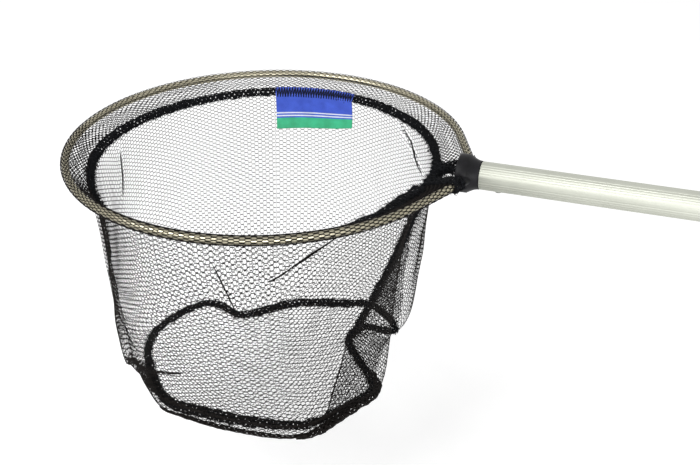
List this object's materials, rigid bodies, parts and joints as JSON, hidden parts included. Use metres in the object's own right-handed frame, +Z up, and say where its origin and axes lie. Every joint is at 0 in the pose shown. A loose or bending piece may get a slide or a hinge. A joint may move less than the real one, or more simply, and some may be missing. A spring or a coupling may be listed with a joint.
{
  "type": "pond net",
  "caption": "Pond net with a round wire hoop, a hemmed and seamed hanging net bag with a flat base, a flared socket and a twist-lock telescopic handle with grip and hanging hole.",
  "frame": {"origin": "on the handle's axis, in the middle of the hand grip, where a hand holds the net", "axes": "+X from the hoop along the handle to its free end, +Y across the hoop, +Z up out of the bag's mouth; the hoop and the handle lie in the XY plane"},
  "size_m": [1.1914, 0.3282, 0.2353],
  "materials": {
    "wire": "yellow passivated steel wire, satin",
    "netting": "black knitted nylon netting",
    "thread": "black overlocked thread",
    "label": "blue woven label with a green border, no words",
    "moulding": "black moulded plastic, satin",
    "rivet": "bright",
    "tube": "satin, fluted on the front tube",
    "nylon": "natural nylon",
    "screw": "zinc plated",
    "grip": "soft black, matt"
  },
  "bodies": {
    "rear_section": {"rear_tube": "tube", "guide_collar": "moulding", "grip": "grip", "end_cap": "moulding"},
    "lock_section": {"lock_ring": "nylon"},
    "front_section": {"hoop_rod": "wire", "net_hem": "netting", "hem_binding_back": "thread", "hem_binding_front": "thread", "rim_seam": "thread", "net_side": "netting", "side_seam": "thread", "base_seam": "thread", "net_base": "netting", "label": "label", "socket": "moulding", "socket_rivet": "rivet", "front_tube": "tube", "lock_plug": "nylon", "lock_screw": "screw"}
  },
  "joints": [
    {"name": "extend", "type": "slide", "parent": "rear_section", "child": "lock_section", "axis": [-1, 0, 0], "range_m": [-0.19, 0.24]},
    {"name": "twist_lock", "type": "hinge", "parent": "lock_section", "child": "front_section", "pos_m": [-0.164, 0, 0.0006], "axis": [1, 0, 0], "range_deg": [-35, 35]}
  ]
}
